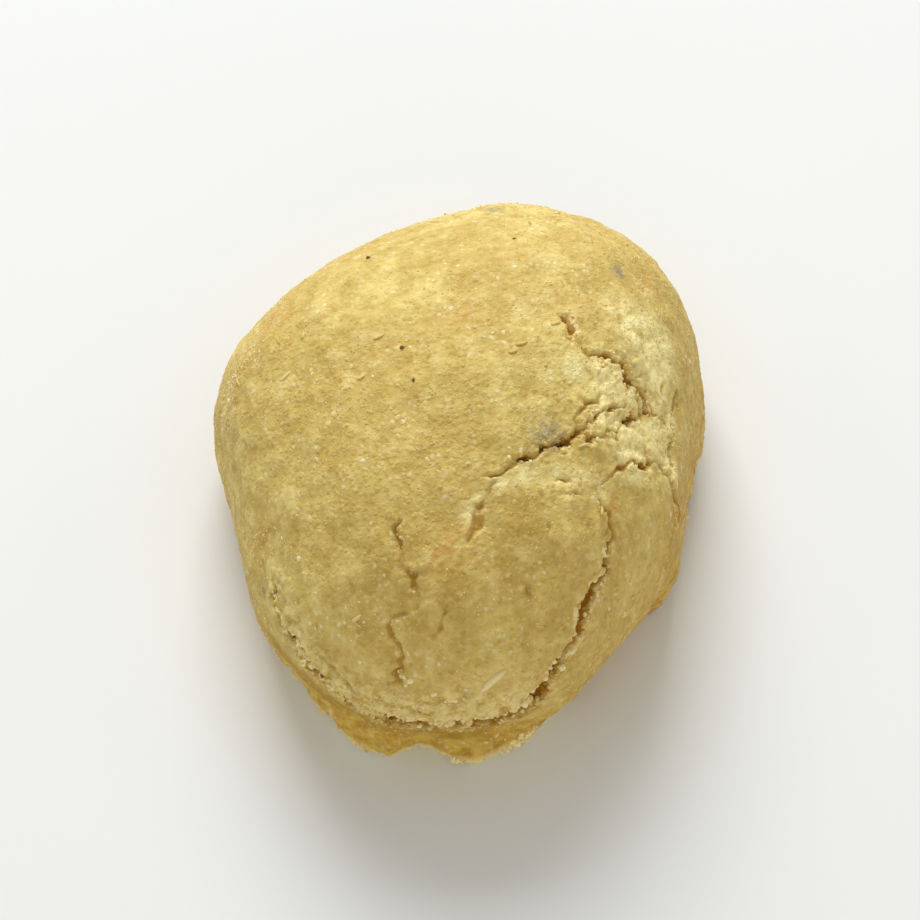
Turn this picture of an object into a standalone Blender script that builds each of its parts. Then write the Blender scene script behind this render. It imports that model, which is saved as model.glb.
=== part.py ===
"""Coconut macaroon: one drop of coconut dough, hand rolled and baked on a tray.

The solid is one piece. Its crust is a dome that has split as the middle rose: ragged cracks run over it,
the plates between them stand a little proud at their edges, and low on one side the crust has torn away
from the foot, which spreads on the tray. The underside is flat.

The crust is laid out on a ball of directions, from the crown to the foot, and each direction is then
carried out to the dough's own surface. Sizes are in millimetres and the mesh is made in metres.
Azimuths are degrees from +X towards +Y. A reach of 0 is the crown and 1 is the edge that meets the tray.
"""

import math
import random

import bmesh
import bpy
import numpy as np
from mathutils import Vector, kdtree, noise
from mathutils.geometry import delaunay_2d_cdt

MM = 0.001

# The drop of dough, seen from above: an oval with two soft corners
MEAN_RADIUS = 21.6
OVAL_SHARE, OVAL_AZIMUTH = 0.10, 76.0
THREE_SIDED_SHARE, THREE_SIDED_AZIMUTH = 0.042, 38.0
FOUR_SIDED_SHARE, FOUR_SIDED_AZIMUTH = 0.028, 66.0

# The drop, seen from the side
HEIGHT = 24.0
WIDEST_HEIGHT = 6.0
TUCK_DOWN = 112.0  # degrees down from the crown at which the side meets the tray
SHOULDER_FULLNESS = 0.94  # under 1 makes the shoulders squarer than an ellipse

# Lumps in the dough: how far apart they are and how high they stand
LUMPS = ((13.0, 0.75), (5.5, 0.32), (2.4, 0.16))
LUMP_SEED = Vector((3.1, 7.7, 1.9))

# Places the bake has raised or let sink: (azimuth, reach, half width in mm, lift in mm)
SWELLS = (
    (-56, 0.37, 4.5, 0.60),  # the plate between the middle split and the long tear
    (-76, 0.51, 5.0, 0.35),
    (-106, 0.60, 5.5, 0.60),  # the crust above the torn lip
    (-126, 0.81, 3.4, -0.9),  # the hollow between the torn lip and the foot
    (-112, 0.83, 3.8, -1.8),
    (-96, 0.83, 3.8, -1.9),
    (-81, 0.83, 3.6, -1.5),
    (-3, 0.43, 4.0, -0.70),  # the crumbled patch on the shoulder
    (84, 0.70, 6.0, 0.45),
    (158, 0.62, 6.0, 0.30),
    (186, 0.82, 8.0, -0.60),
    (38, 0.76, 6.0, 0.35),
    (-8, 0.78, 6.5, -1.20),  # the right side, pressed a little flat
    (-46, 0.84, 6.0, -1.10),
    (-62, 0.86, 4.0, -0.90),
)

# The foot, where the dough has run out over the tray: its rag as (spacing, depth) in mm, and the
# places it runs further or less far, as (azimuth, half angle, run in mm)
FOOT_REACH = 0.93
FOOT_RAG = ((6.0, 0.8), (2.4, 0.45))
FOOT_RUNS = (
    (-132, 16, -1.1), (-109, 12, 0.1), (-99, 5, -1.5), (-84, 10, 0.4), (-58, 17, -2.0), (180, 30, -0.7),
    (92, 40, 0.5),
)
FLARE_REACH = 0.80  # from here the side flares out to the foot's edge

# Cracks: (azimuth, reach, gap in mm) at each turn of a crack. A crack gapes most between its ends
CRACKS = {
    "upper_split": [
        (38, 0.195, 0.3), (20, 0.22, 0.6), (13, 0.29, 0.8), (7, 0.36, 1.1), (5, 0.43, 0.9), (1, 0.51, 0.6),
        (-4, 0.57, 0.3),
    ],
    "middle_split": [
        (-80, 0.177, 0.3), (-64, 0.19, 0.7), (-49, 0.208, 0.8), (-38, 0.225, 0.9), (-26, 0.262, 0.7),
        (-18, 0.28, 0.6), (-9, 0.32, 0.5), (-2, 0.36, 0.3),
    ],
    "middle_tail": [(-72, 0.20, 0.4), (-80, 0.22, 0.5), (-86, 0.245, 0.5), (-89, 0.29, 0.4), (-90, 0.33, 0.2)],
    "cross_split": [
        (-42, 0.345, 0.25), (-33, 0.36, 0.5), (-26, 0.385, 0.6), (-19, 0.44, 0.7), (-14, 0.49, 0.6),
        (-11, 0.54, 0.4),
    ],
    "right_split": [
        (15, 0.54, 0.3), (4, 0.535, 0.5), (-6, 0.55, 0.6), (-14, 0.56, 0.6), (-18, 0.60, 0.5),
        (-22, 0.67, 0.3),
    ],
    "long_tear": [
        (-41, 0.36, 0.25), (-44, 0.42, 0.4), (-48, 0.47, 0.6), (-52, 0.50, 0.8), (-57, 0.52, 1.3),
        (-61, 0.545, 1.2), (-66, 0.578, 0.6), (-70, 0.60, 0.9), (-74, 0.64, 1.6), (-78, 0.69, 1.8),
        (-82, 0.71, 1.4),
    ],
    "torn_lip": [
        (-140, 0.60, 0.4), (-130, 0.65, 0.9), (-122, 0.68, 1.3), (-112, 0.715, 2.0), (-104, 0.715, 2.6),
        (-96, 0.715, 3.0), (-88, 0.725, 3.0), (-82, 0.72, 2.2), (-76, 0.73, 0.8),
    ],
    "left_hairline": [
        (-113, 0.26, 0.25), (-111, 0.31, 0.6), (-108, 0.355, 0.6), (-103, 0.365, 0.5), (-103, 0.43, 0.25),
    ],
    "left_drop": [
        (-103, 0.42, 0.2), (-108, 0.46, 0.5), (-105, 0.49, 0.5), (-103, 0.54, 0.4), (-106, 0.60, 0.6),
        (-107, 0.66, 0.4),
    ],
    "near_nick": [(-96, 0.40, 0.2), (-96, 0.43, 0.6), (-97, 0.46, 0.2)],
    "shoulder_nick": [(-9, 0.36, 0.5), (-6, 0.388, 1.3), (-3, 0.415, 0.5)],
    "far_split": [(62, 0.50, 0.3), (78, 0.57, 0.7), (90, 0.56, 1.0), (104, 0.62, 0.8), (112, 0.70, 0.3)],
    "far_drop": [(90, 0.56, 0.4), (86, 0.66, 0.8), (92, 0.76, 0.5)],
    "far_lip": [(48, 0.80, 0.4), (64, 0.84, 1.2), (82, 0.86, 1.7), (98, 0.84, 1.0), (108, 0.80, 0.4)],
    "back_left_split": [(118, 0.64, 0.3), (126, 0.70, 0.8), (133, 0.77, 1.0), (128, 0.86, 0.4)],
    "left_lip": [(138, 0.85, 0.4), (156, 0.87, 1.3), (174, 0.86, 1.5), (187, 0.87, 0.8), (195, 0.86, 0.4)],
    "right_foot": [(-38, 0.89, 0.3), (-24, 0.90, 0.8), (-8, 0.89, 1.1), (8, 0.90, 0.8), (20, 0.87, 0.3)],
}
CRACK_JAG = 0.22  # sideways knock of a crack's course, as a share of each run
CRACK_STATION = 1.15  # mm between the points of a crack's course
DEPTH_AT_GAP, DEEPEST = 0.95, 2.3  # a crack is about as deep as it gapes
WALL_SHARE = 0.5  # share of the half gap over which a wall falls
WIDE_GAP = 1.25  # cracks that gape this much have a floor between two walls
LIP_LIFT, LIP_RUN = 0.28, 1.6  # the crust curls up beside a crack, and over how far

# How fine the facets are
CRUST_POINTS = 3700
FOOT_POINTS = 120
FOOT_RINGS = (1.0, 0.968, 0.935)
CRACK_CLEARANCE = 0.62  # mm kept free of other points beside a crack's lines

CRUST_COLOUR = (0.72, 0.52, 0.19, 1.0)
CRUST_ROUGHNESS = 0.85


def direction(azimuth, reach):
    """The unit vector that points to this place on the crust."""
    turn, down = math.radians(azimuth), math.radians(reach * TUCK_DOWN)
    return np.array([math.sin(down) * math.cos(turn), math.sin(down) * math.sin(turn), math.cos(down)])


def reach_of(ways):
    """How far each direction lies from the crown, as a share of the way to the foot."""
    return np.degrees(np.arccos(np.clip(ways[:, 2], -1.0, 1.0))) / TUCK_DOWN


def plan_radius(turn):
    """The outline from above at its widest, for azimuths in radians."""
    shape = 1.0
    for sides, share, azimuth in (
        (2, OVAL_SHARE, OVAL_AZIMUTH),
        (3, THREE_SIDED_SHARE, THREE_SIDED_AZIMUTH),
        (4, FOUR_SIDED_SHARE, FOUR_SIDED_AZIMUTH),
    ):
        shape = shape + share * np.cos(sides * (turn - math.radians(azimuth)))
    return MEAN_RADIUS * shape


def smooth_dome(ways):
    """Points of the drop before it cracked, and the way each faces."""
    turn = np.arctan2(ways[:, 1], ways[:, 0])
    level = ways[:, 2]
    out = np.sqrt(np.clip(1.0 - level**2, 0.0, 1.0))
    radius = plan_radius(turn) * out**SHOULDER_FULLNESS
    above = WIDEST_HEIGHT + (HEIGHT - WIDEST_HEIGHT) * np.clip(level, 0.0, 1.0)
    lowest = abs(math.cos(math.radians(TUCK_DOWN)))
    height = np.where(level > 0.0, above, WIDEST_HEIGHT * (1.0 + level / lowest))
    points = np.column_stack([radius * np.cos(turn), radius * np.sin(turn), height])
    stretch = np.array([MEAN_RADIUS, MEAN_RADIUS, HEIGHT - WIDEST_HEIGHT])
    facing = ways / stretch
    return points, facing / np.linalg.norm(facing, axis=1, keepdims=True)


def lumps(points):
    """How far the dough's own lumps and swells lift each point."""
    lift = np.zeros(len(points))
    for spacing, height in LUMPS:
        lift += [height * noise.noise(Vector(p) / spacing + LUMP_SEED) for p in points]
    for azimuth, reach, half_width, height in SWELLS:
        middle = smooth_dome(direction(azimuth, reach)[None])[0]
        away = np.linalg.norm(points - middle, axis=1) / half_width
        lift += height * np.exp(-(away**2))
    return lift


class Crack:
    """The jagged course of one crack over the ball of directions, with its half gaps and depths."""

    def __init__(self, name, turns):
        self.chance = random.Random(name)
        course = [(direction(azimuth, reach), gap) for azimuth, reach, gap in turns]
        while self.longest_run(course) > CRACK_STATION:
            course = self.halved(course)
        self.course = np.array([way for way, gap in course])
        gaps = np.array([gap for way, gap in course])
        self.halves = [self.ragged(gaps / 2), self.ragged(gaps / 2)]
        self.depths = np.minimum(DEPTH_AT_GAP * gaps**0.8 + 0.1, DEEPEST)
        self.depths[[0, -1]] = 0.0
        self.lift = LIP_LIFT * min(1.0, gaps.max())
        self.wide = gaps.max() > WIDE_GAP

    @staticmethod
    def longest_run(course):
        return max(np.linalg.norm(b[0] - a[0]) for a, b in zip(course, course[1:])) * MEAN_RADIUS

    def halved(self, course):
        """Each run in two, the new point knocked sideways and its gap made uneven."""
        finer = course[:1]
        for (a, gap_a), (b, gap_b) in zip(course, course[1:]):
            sideways = np.cross(a, b)
            knock = CRACK_JAG * self.chance.uniform(-1.0, 1.0)
            middle = (a + b) / 2 + sideways * knock
            gap = (gap_a + gap_b) / 2 * self.chance.uniform(0.7, 1.35)
            finer += [(middle / np.linalg.norm(middle), gap), (b, gap_b)]
        return finer

    def ragged(self, halves):
        return halves * [self.chance.uniform(0.65, 1.35) for _ in halves]

    def sideways(self):
        """The unit vector across the crack at each point of its course."""
        along = np.gradient(self.course, axis=0)
        across = np.cross(self.course, along)
        return across / np.linalg.norm(across, axis=1, keepdims=True)

    def lines(self):
        """The crack's rims and floor, each as a row of directions. All of them start and end together."""
        across = self.sideways()
        shares = (-1.0, -WALL_SHARE, WALL_SHARE, 1.0) if self.wide else (-1.0, 0.0, 1.0)
        rows = []
        for share in shares:
            half = self.halves[share > 0] * share / MEAN_RADIUS
            row = self.course + across * half[:, None]
            row[[0, -1]] = self.course[[0, -1]]
            rows.append(row / np.linalg.norm(row, axis=1, keepdims=True))
        return rows

    def cut_and_lift(self, ways):
        """How deep the crack cuts at each direction, and how far the crust beside it curls up."""
        starts, runs = self.course[:-1], np.diff(self.course, axis=0)
        offset = ways[:, None, :] - starts[None]
        share = np.clip((offset * runs).sum(2) / (runs * runs).sum(1), 0.0, 1.0)
        gap_to = offset - share[..., None] * runs
        distance = np.linalg.norm(gap_to, axis=2) * MEAN_RADIUS
        run = distance.argmin(1)
        every = np.arange(len(ways))
        share, distance = share[every, run], distance[every, run]
        side = (gap_to[every, run] * np.cross(starts, runs)[run]).sum(1) > 0.0
        left, right, depth = (
            values[run] * (1.0 - share) + values[run + 1] * share
            for values in (self.halves[0], self.halves[1], self.depths)
        )
        half = np.where(side, right, left)
        fall = np.clip((half - distance) / (WALL_SHARE * half + 1e-6), 0.0, 1.0)
        taper = np.clip(depth / DEPTH_AT_GAP, 0.0, 1.0)
        curl = self.lift * taper * np.exp(-np.clip(distance - half, 0.0, None) / LIP_RUN)
        return depth * fall, curl


def foot_spread(turn):
    """How far the foot runs out at each azimuth, in radians."""
    spread = np.zeros(len(turn))
    for spacing, depth in FOOT_RAG:
        around = MEAN_RADIUS / spacing
        spread += [depth * noise.noise(Vector((math.cos(t), math.sin(t), 0.3)) * around) for t in turn]
    for azimuth, half_angle, run in FOOT_RUNS:
        away = (np.degrees(turn) - azimuth + 180.0) % 360.0 - 180.0
        spread += run * np.exp(-((away / half_angle) ** 2))
    return spread


def baked_surface(ways, cracks):
    """Where each direction meets the finished crust, in millimetres."""
    points, facing = smooth_dome(ways)
    reach = reach_of(ways)
    cut, curl = np.zeros(len(ways)), np.zeros(len(ways))
    for crack in cracks:
        depth, lift = crack.cut_and_lift(ways)
        cut, curl = np.maximum(cut, depth), np.maximum(curl, lift)
    fade = np.clip((1.0 - reach) / (1.0 - FOOT_REACH), 0.0, 1.0)
    points += facing * ((lumps(points) + curl - cut) * fade)[:, None]
    turn = np.arctan2(ways[:, 1], ways[:, 0])
    low = np.clip((reach - FLARE_REACH) / (0.98 - FLARE_REACH), 0.0, 1.0)
    outward = np.column_stack([np.cos(turn), np.sin(turn)])
    points[:, :2] += outward * (foot_spread(turn) * low)[:, None]
    return points


def flat_map(ways):
    """Directions laid out on a disc of radius 1 that keeps every small shape as it is."""
    scale = 1.0 / math.tan(math.radians(TUCK_DOWN / 2))
    return ways[:, :2] / (1.0 + ways[:, 2:3]) * scale


def from_flat_map(places):
    """Undoes flat_map."""
    spread = places * math.tan(math.radians(TUCK_DOWN / 2))
    square = (spread**2).sum(1, keepdims=True)
    return np.column_stack([2.0 * spread, 1.0 - square]) / (1.0 + square)


def crust_ways():
    """Directions spread evenly over the crust as a sunflower spreads its seeds."""
    golden = math.pi * (3.0 - math.sqrt(5.0))
    lowest = math.cos(math.radians(TUCK_DOWN * (FOOT_RINGS[-1] - 0.02)))
    number = np.arange(CRUST_POINTS)
    level = 1.0 - (number + 0.5) / CRUST_POINTS * (1.0 - lowest)
    out = np.sqrt(1.0 - level**2)
    return np.column_stack([out * np.cos(golden * number), out * np.sin(golden * number), level])


def clear_of(ways, taken):
    """The directions that keep clear of those already taken."""
    tree = kdtree.KDTree(len(taken))
    for number, way in enumerate(taken):
        tree.insert(way, number)
    tree.balance()
    nearest = np.array([tree.find(way)[2] for way in ways])
    return ways[nearest * MEAN_RADIUS > CRACK_CLEARANCE]


def crust_layout(cracks):
    """All directions of the crust's mesh, and the triangles between them, cut along every crack's lines."""
    foot = [
        np.array([direction(360.0 * k / FOOT_POINTS, reach) for k in range(FOOT_POINTS)])
        for reach in FOOT_RINGS
    ]
    lines = [line for crack in cracks for line in crack.lines()]
    lines = [line[reach_of(line) < FOOT_RINGS[-1] - 0.01] for line in lines]
    loose = clear_of(crust_ways(), np.vstack(lines))
    ways, edges = np.vstack(foot), []
    for ring in range(len(FOOT_RINGS)):
        first = ring * FOOT_POINTS
        edges += [(first + k, first + (k + 1) % FOOT_POINTS) for k in range(FOOT_POINTS)]
    for line in lines:
        edges += [(len(ways) + k, len(ways) + k + 1) for k in range(len(line) - 1)]
        ways = np.vstack([ways, line])
    ways = np.vstack([ways, loose])
    places = [Vector(place) for place in flat_map(ways)]
    merged_within = 0.004
    found, _, triangles, _, _, _ = delaunay_2d_cdt(places, edges, [], 0, merged_within)
    return from_flat_map(np.array([tuple(place) for place in found])), triangles


def macaroon_mesh():
    """The closed solid: the crust down to the foot's edge, and the flat underside. It is centred."""
    cracks = [Crack(name, turns) for name, turns in CRACKS.items()]
    ways, triangles = crust_layout(cracks)
    points = baked_surface(ways, cracks)
    points[reach_of(ways) > 0.9999, 2] = 0.0
    points[:, :2] -= (points[:, :2].min(0) + points[:, :2].max(0)) / 2
    shape = bmesh.new()
    corners = [shape.verts.new(Vector(point) * MM) for point in points]
    for triangle in triangles:
        shape.faces.new([corners[k] for k in triangle])
    rim = [edge for edge in shape.edges if edge.is_boundary]
    bmesh.ops.triangle_fill(shape, edges=rim, use_beauty=True)
    bmesh.ops.recalc_face_normals(shape, faces=shape.faces)
    mesh = bpy.data.meshes.new("macaroon")
    shape.to_mesh(mesh)
    shape.free()
    mesh.shade_smooth()
    mesh.set_sharp_from_angle(angle=math.radians(50))
    return mesh


def crust_material():
    """Baked coconut dough: dry, pale gold and matt."""
    material = bpy.data.materials.new("baked_coconut_dough")
    material.use_nodes = True
    shader = material.node_tree.nodes["Principled BSDF"]
    shader.inputs["Base Color"].default_value = CRUST_COLOUR
    shader.inputs["Roughness"].default_value = CRUST_ROUGHNESS
    shader.inputs["Metallic"].default_value = 0.0
    return material


def main():
    for leftover in list(bpy.data.objects):
        bpy.data.objects.remove(leftover)
    mesh = macaroon_mesh()
    mesh.materials.append(crust_material())
    macaroon = bpy.data.objects.new("macaroon", mesh)
    bpy.context.scene.collection.objects.link(macaroon)


main()
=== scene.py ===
"""The looks of one coconut macaroon: a mound of coconut dough, rolled and dropped by hand, baked pale gold.

Shapes are worked out in millimetres and made in metres. Azimuths are degrees from +X towards +Y. A reach of
0 is the crown and 1 is the edge that meets the tray.
"""

import math
import random

import bmesh
import bpy
import numpy as np
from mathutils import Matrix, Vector, kdtree, noise
from mathutils.geometry import delaunay_2d_cdt


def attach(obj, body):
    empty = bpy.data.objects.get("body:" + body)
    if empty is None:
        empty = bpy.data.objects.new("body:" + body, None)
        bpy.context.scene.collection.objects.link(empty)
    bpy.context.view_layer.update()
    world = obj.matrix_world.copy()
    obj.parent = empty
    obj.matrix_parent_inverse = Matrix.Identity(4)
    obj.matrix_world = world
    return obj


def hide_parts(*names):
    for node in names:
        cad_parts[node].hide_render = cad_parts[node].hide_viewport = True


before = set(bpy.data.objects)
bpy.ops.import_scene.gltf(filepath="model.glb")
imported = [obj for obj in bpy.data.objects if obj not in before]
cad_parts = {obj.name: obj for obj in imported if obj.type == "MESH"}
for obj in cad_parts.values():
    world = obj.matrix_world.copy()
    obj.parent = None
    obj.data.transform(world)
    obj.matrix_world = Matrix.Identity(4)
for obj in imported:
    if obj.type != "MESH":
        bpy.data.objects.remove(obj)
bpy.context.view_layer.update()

# ---------------------------------------------------------------------------------------------------------
# The crust. The dough rose and split in the oven, so its thin dry skin is broken by ragged cracks with
# crumb in them. Low on the near side the crust has torn away from the thin foot that spread on the tray.
# ---------------------------------------------------------------------------------------------------------

MM = 0.001

# The drop of dough as the solid has it: from above an oval with soft corners, from the side a dome
MEAN_RADIUS, HEIGHT, WIDEST_HEIGHT = 21.6, 24.0, 6.0
OUTLINE_WAVES = ((2, 0.10, 76.0), (3, 0.042, 38.0), (4, 0.028, 66.0))  # sides, share, azimuth
TUCK_DOWN = 112.0  # degrees down from the crown at which the side meets the tray
SHOULDER_FULLNESS = 0.94
MIDDLE_OFFSET = (0.398, 0.144)  # brings the middle of the uneven drop over the origin
LUMPS = ((13.0, 0.75), (5.5, 0.32), (2.4, 0.16))  # spacing and height of the dough's lumps
LUMP_SEED = Vector((3.1, 7.7, 1.9))
SWELLS = (  # azimuth, reach, half width and lift of each place that rose or sank
    (-56, 0.37, 4.5, 0.60),
    (-76, 0.51, 5.0, 0.35),
    (-106, 0.60, 5.5, 0.60),
    (-126, 0.81, 3.4, -0.9),
    (-112, 0.83, 3.8, -1.8),
    (-96, 0.83, 3.8, -1.9),
    (-81, 0.83, 3.6, -1.5),
    (-3, 0.43, 4.0, -0.70),
    (84, 0.70, 6.0, 0.45),
    (158, 0.62, 6.0, 0.30),
    (186, 0.82, 8.0, -0.60),
    (38, 0.76, 6.0, 0.35),
    (-8, 0.78, 6.5, -1.20),
    (-46, 0.84, 6.0, -1.10),
    (-62, 0.86, 4.0, -0.90),
)
FLARE_REACH, FOOT_REACH = 0.80, 0.93  # the foot spreads from here, and the lumps die away from here
FOOT_RAG, EDGE_RAG = ((6.0, 0.8), (2.4, 0.45)), ((1.4, 0.32), (0.6, 0.2))  # spacing and depth
FOOT_RUNS = (  # azimuth, half angle and how far the foot runs out there
    (-132, 16, -1.1), (-109, 12, 0.1), (-99, 5, -1.5), (-84, 10, 0.4), (-58, 17, -2.0), (180, 30, -0.7),
    (92, 40, 0.5), (-40, 7, -1.1),
)

# The cracks, as (azimuth, reach, gap in mm) at each turn: first those of the solid, then finer ones
MAIN_CRACKS = {
    "upper_split": [
        (38, 0.195, 0.3), (20, 0.22, 0.6), (13, 0.29, 0.8), (7, 0.36, 1.1), (5, 0.43, 0.9), (1, 0.51, 0.6),
        (-4, 0.57, 0.3),
    ],
    "middle_split": [
        (-80, 0.177, 0.3), (-64, 0.19, 0.7), (-49, 0.208, 0.8), (-38, 0.225, 0.9), (-26, 0.262, 0.7),
        (-18, 0.28, 0.6), (-9, 0.32, 0.5), (-2, 0.36, 0.3),
    ],
    "middle_tail": [
        (-72, 0.20, 0.4), (-80, 0.22, 0.4), (-86, 0.245, 0.4), (-89, 0.29, 0.35), (-90, 0.33, 0.2),
    ],
    "cross_split": [
        (-42, 0.345, 0.25), (-33, 0.36, 0.5), (-26, 0.385, 0.6), (-19, 0.44, 0.7), (-14, 0.49, 0.6),
        (-11, 0.54, 0.4),
    ],
    "right_split": [
        (15, 0.54, 0.3), (4, 0.535, 0.5), (-6, 0.55, 0.6), (-14, 0.56, 0.6), (-18, 0.60, 0.5),
        (-22, 0.67, 0.3),
    ],
    "long_tear": [
        (-41, 0.36, 0.25), (-44, 0.42, 0.4), (-48, 0.47, 0.6), (-52, 0.50, 0.8), (-57, 0.52, 1.7),
        (-61, 0.545, 1.6), (-66, 0.578, 0.8), (-70, 0.60, 1.1), (-74, 0.64, 1.8), (-78, 0.69, 2.1),
        (-82, 0.71, 1.7),
    ],
    "torn_lip": [
        (-140, 0.60, 0.4), (-130, 0.65, 0.9), (-122, 0.68, 1.3), (-112, 0.715, 2.0), (-104, 0.715, 2.6),
        (-96, 0.715, 3.0), (-88, 0.725, 3.0), (-82, 0.72, 2.2), (-76, 0.73, 0.8),
    ],
    "left_hairline": [
        (-113, 0.26, 0.25), (-111, 0.31, 0.6), (-108, 0.355, 0.6), (-103, 0.365, 0.5), (-103, 0.43, 0.25),
    ],
    "left_drop": [
        (-103, 0.42, 0.2), (-108, 0.46, 0.5), (-105, 0.49, 0.5), (-103, 0.54, 0.4), (-106, 0.60, 0.6),
        (-107, 0.66, 0.4),
    ],
    "near_nick": [(-96, 0.40, 0.2), (-96, 0.43, 0.5), (-97, 0.46, 0.2)],
    "shoulder_nick": [(-9, 0.36, 0.5), (-6, 0.388, 1.3), (-3, 0.415, 0.5)],
    "far_split": [(62, 0.50, 0.3), (78, 0.57, 0.7), (90, 0.56, 1.0), (104, 0.62, 0.8), (112, 0.70, 0.3)],
    "far_drop": [(90, 0.56, 0.4), (86, 0.66, 0.8), (92, 0.76, 0.5)],
    "far_lip": [(48, 0.80, 0.4), (64, 0.84, 1.2), (82, 0.86, 1.7), (98, 0.84, 1.0), (108, 0.80, 0.4)],
    "back_left_split": [(118, 0.64, 0.3), (126, 0.70, 0.8), (133, 0.77, 1.0), (128, 0.86, 0.4)],
    "left_lip": [(138, 0.85, 0.4), (156, 0.87, 1.3), (174, 0.86, 1.5), (187, 0.87, 0.8), (195, 0.86, 0.4)],
    "right_foot": [(-38, 0.89, 0.3), (-24, 0.90, 0.8), (-8, 0.89, 1.1), (8, 0.90, 0.8), (20, 0.87, 0.3)],
}
FINE_CRACKS = {
    "patch_rim": [
        (0, 0.306, 0.3), (-9, 0.281, 0.5), (-18, 0.245, 0.5), (-26, 0.261, 0.8), (-22, 0.31, 0.9),
        (-16, 0.346, 0.6), (-10, 0.355, 0.4),
    ],
    "slab_arc_upper": [(-53, 0.257, 0.2), (-47, 0.286, 0.35), (-43, 0.315, 0.35), (-41, 0.348, 0.25)],
    "slab_arc_lower": [(-55, 0.29, 0.15), (-50, 0.31, 0.3), (-45, 0.333, 0.3), (-42, 0.35, 0.2)],
    "slab_seam": [(-59, 0.292, 0.15), (-62, 0.33, 0.2), (-64, 0.37, 0.15)],
    "edge_a": [(12, 0.49, 0.2), (7, 0.493, 0.4), (0, 0.513, 0.4)],
    "edge_b": [(15, 0.536, 0.3), (11, 0.55, 0.5), (6, 0.58, 0.3)],
    "edge_d": [(-13, 0.50, 0.5), (-15, 0.525, 0.8), (-18, 0.58, 0.5)],
    "pit_line": [(-73, 0.40, 0.2), (-73, 0.42, 0.55), (-74, 0.44, 0.2)],
    "low_seam": [(-71, 0.485, 0.15), (-72, 0.50, 0.4), (-74, 0.525, 0.15)],
    "side_mark": [(-43, 0.415, 0.2), (-45, 0.424, 0.7), (-48, 0.43, 0.3)],
    "lip_pocket": [(-84, 0.705, 0.5), (-84, 0.735, 1.5), (-85, 0.77, 0.5)],
    "rim_nick": [(-120, 0.62, 0.3), (-114, 0.635, 0.5), (-109, 0.65, 0.4)],
}
CRACK_JAG, CRACK_STATION = 0.22, 1.15  # how far each run is knocked sideways, and the longest left straight
DEPTH_AT_GAP, DEEPEST, SOFT_EDGE, CRACK_REACH = 0.95, 2.3, 0.08, 5.0
HAIRLINE, NARROW, WIDE, TORN = 0.65, 0.95, 1.25, 3.0  # the widest gaps that part the kinds of crack
LIP_LIFT, LIP_RUN = 0.22, 1.8
BREAKAGE = ((1.7, 0.34), (0.75, 0.26), (0.34, 0.15))  # how far, at each spacing, crumb strays as it breaks
BREAKAGE_SEED = 1

SKIN_THICKNESS, SKIN_LOSS, SKIN_EDGE = 0.15, 0.6, 0.16  # the dry skin that has flaked off beside the cracks
PLATES_AT, PLATES_ACROSS, PLATE_SIZE = (-6, 0.40), 4.6, 3.4  # the shoulder that crazed into small plates
CRAZE_DEPTH, CRAZE_HALF = 0.4, 0.45
CRUMB_RELIEF, CRUST_RELIEF = ((0.95, 0.22), (0.45, 0.13)), ((1.7, 0.10), (0.85, 0.07), (0.45, 0.05))

LIP = (  # the crumbling edge above the tear, as spots of (azimuth, reach, half width in mm)
    (-138, 0.59, 1.4), (-130, 0.62, 1.6), (-122, 0.64, 1.8), (-113, 0.655, 2.0), (-104, 0.65, 2.2),
    (-95, 0.65, 2.2), (-87, 0.655, 2.2), (-80, 0.66, 1.6),
)

RIM_AT, RIM_CURL = 0.966, 0.45  # the foot's thin edge turns up a little, most on the torn side
TORN_SIDE = ((-130, 0.93, 5.0), (-112, 0.93, 5.0), (-94, 0.93, 5.0), (-76, 0.93, 5.0))

NEAR_SPACING, OPEN_SPACING, NEAR_CRACK = 0.15, 0.27, 0.9  # of the mesh's points, closer near a crack
BASE_STEP, BASE_ROW, DIMPLE_DEPTH = 0.8, 0.69, 0.35


def direction(azimuth, reach):
    """The unit vector that points to this place on the crust."""
    turn, down = math.radians(azimuth), math.radians(reach * TUCK_DOWN)
    return np.array([math.sin(down) * math.cos(turn), math.sin(down) * math.sin(turn), math.cos(down)])


def reach_of(ways):
    """How far each direction lies from the crown, as a share of the way to the foot."""
    return np.degrees(np.arccos(np.clip(ways[:, 2], -1.0, 1.0))) / TUCK_DOWN


def smooth_dome(ways):
    """Points of the drop before it cracked, and the way each faces."""
    turn = np.arctan2(ways[:, 1], ways[:, 0])
    level = ways[:, 2]
    out = np.sqrt(np.clip(1.0 - level**2, 0.0, 1.0)) ** SHOULDER_FULLNESS
    outline = 1.0 + sum(share * np.cos(n * (turn - math.radians(at))) for n, share, at in OUTLINE_WAVES)
    above = WIDEST_HEIGHT + (HEIGHT - WIDEST_HEIGHT) * np.clip(level, 0.0, 1.0)
    lowest = abs(math.cos(math.radians(TUCK_DOWN)))
    height = np.where(level > 0.0, above, WIDEST_HEIGHT * (1.0 + level / lowest))
    across = MEAN_RADIUS * outline * out
    points = np.column_stack([across * np.cos(turn), across * np.sin(turn), height])
    facing = ways / np.array([MEAN_RADIUS, MEAN_RADIUS, HEIGHT - WIDEST_HEIGHT])
    return points, facing / np.linalg.norm(facing, axis=1, keepdims=True)


def noise_at(points, spacing, seed=(0.0, 0.0, 0.0)):
    """Smooth noise from -1 to 1 at each point, with about this spacing between its highs."""
    shift = Vector(seed)
    return np.array([noise.noise(Vector(p) / spacing + shift) for p in points])


def closeness(points, azimuth, reach, half_width):
    """How close each point of the smooth dome is to one place: 1 there, fading out past the half width."""
    middle = smooth_dome(direction(azimuth, reach)[None])[0]
    return np.exp(-((np.linalg.norm(points - middle, axis=1) / half_width) ** 2))


def lumps(points):
    """How far the dough's own lumps and swells lift each point."""
    lift = sum(height * noise_at(points, spacing, LUMP_SEED) for spacing, height in LUMPS)
    for azimuth, reach, half_width, height in SWELLS:
        lift = lift + height * closeness(points, azimuth, reach, half_width)
    return lift


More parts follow.
